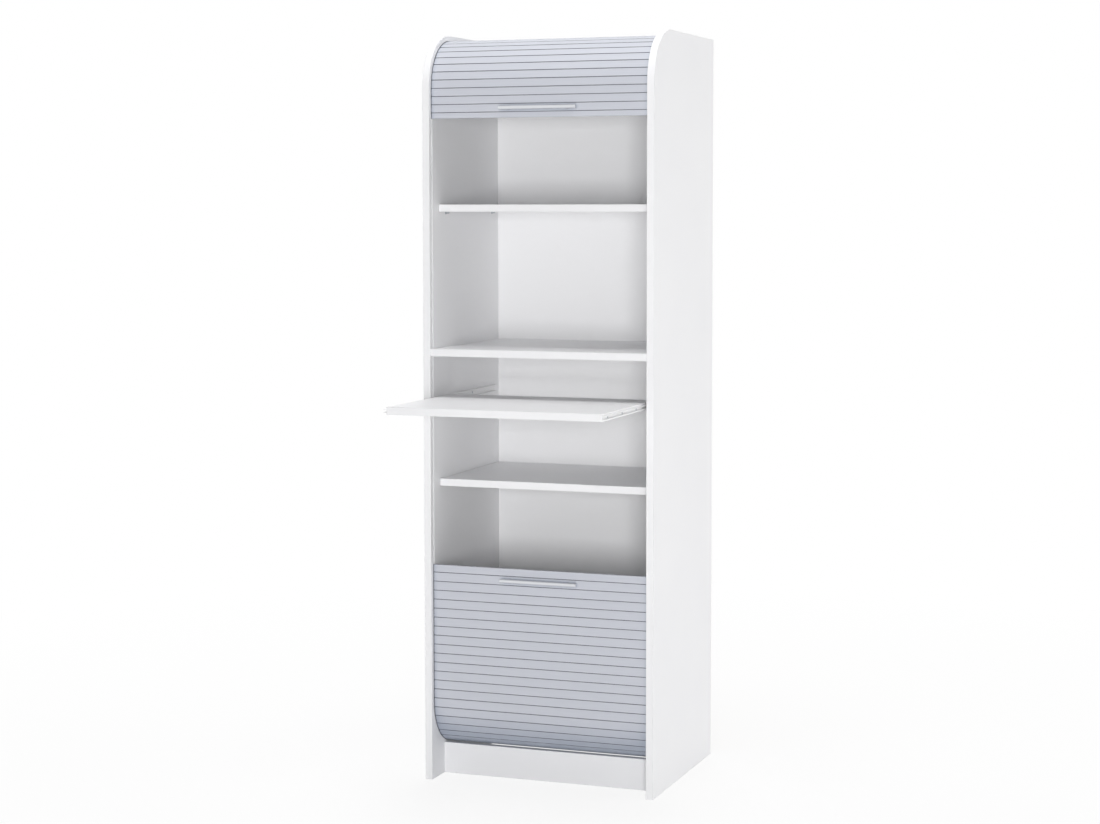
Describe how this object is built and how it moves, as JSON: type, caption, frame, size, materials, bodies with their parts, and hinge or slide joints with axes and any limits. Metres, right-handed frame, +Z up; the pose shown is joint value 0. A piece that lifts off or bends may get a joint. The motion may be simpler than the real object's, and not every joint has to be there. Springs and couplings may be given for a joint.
{
  "type": "microwave cabinet",
  "caption": "Tall white kitchen cabinet for a microwave oven, with an upper and a lower tambour shutter, shelves, a plinth and a pull-out board.",
  "frame": {"origin": "on the floor under the middle of the plinth board's foot, half-way across the cabinet and half-way through the board", "axes": "+Z up, +X to the right seen from the front, +Y from the front to the rear"},
  "size_m": [0.6, 0.792, 1.865],
  "materials": {
    "white_melamine": "satin",
    "white_hardboard": "satin",
    "slat_plastic": "satin",
    "handle_aluminium": "satin",
    "zinc_steel": "satin",
    "coated_steel": "satin",
    "dowel_beech": "satin",
    "cage_plastic": "matte"
  },
  "bodies": {
    "carcass": {"left_side_panel": "white_melamine", "right_side_panel": "white_melamine", "top_board": "white_melamine", "fixed_shelf": "white_melamine", "bottom_board": "white_melamine", "plinth_board": "white_melamine", "upper_shelf": "white_melamine", "lower_shelf": "white_melamine", "inner_back": "white_hardboard", "back_panel": "white_hardboard", "upper_turn_slats": "slat_plastic", "upper_stored_slats": "slat_plastic", "lower_turn_slats": "slat_plastic", "lower_stored_slats": "slat_plastic", "upper_shelf_pins": "zinc_steel", "lower_shelf_pins": "zinc_steel", "slide_outer_screws": "zinc_steel", "cam_nuts": "zinc_steel", "cam_bolts": "zinc_steel", "back_nails": "zinc_steel", "inner_back_nails": "zinc_steel", "left_slide_outer": "coated_steel", "right_slide_outer": "coated_steel", "dowels": "dowel_beech"},
    "upper_shutter": {"upper_end_rail": "slat_plastic", "upper_front_slats": "slat_plastic", "upper_handle": "handle_aluminium", "upper_handle_screws": "zinc_steel"},
    "lower_shutter": {"lower_end_rail": "slat_plastic", "lower_front_slats": "slat_plastic", "lower_handle": "handle_aluminium", "lower_handle_screws": "zinc_steel"},
    "pull_out": {"pull_out_board": "white_melamine", "left_slide_inner": "coated_steel", "right_slide_inner": "coated_steel", "slide_inner_screws": "zinc_steel"},
    "ball_cages": {"slide_ball_cages": "cage_plastic", "slide_balls": "zinc_steel"}
  },
  "joints": [
    {"name": "upper_shutter_slide", "type": "slide", "parent": "carcass", "child": "upper_shutter", "axis": [0, 0, -1], "range_m": [0, 0.5687]},
    {"name": "lower_shutter_slide", "type": "slide", "parent": "carcass", "child": "lower_shutter", "axis": [0, 0, 1], "range_m": [0, 0.3935]},
    {"name": "pull_out_slide", "type": "slide", "parent": "carcass", "child": "pull_out", "axis": [0, 1, 0], "range_m": [0, 0.317]},
    {"name": "ball_cage_slide", "type": "slide", "parent": "carcass", "child": "ball_cages", "axis": [0, 1, 0], "range_m": [0, 0.1585]}
  ],
  "couplings": [
    {"joint": "ball_cage_slide", "follows": "pull_out_slide", "ratio": 0.5}
  ]
}
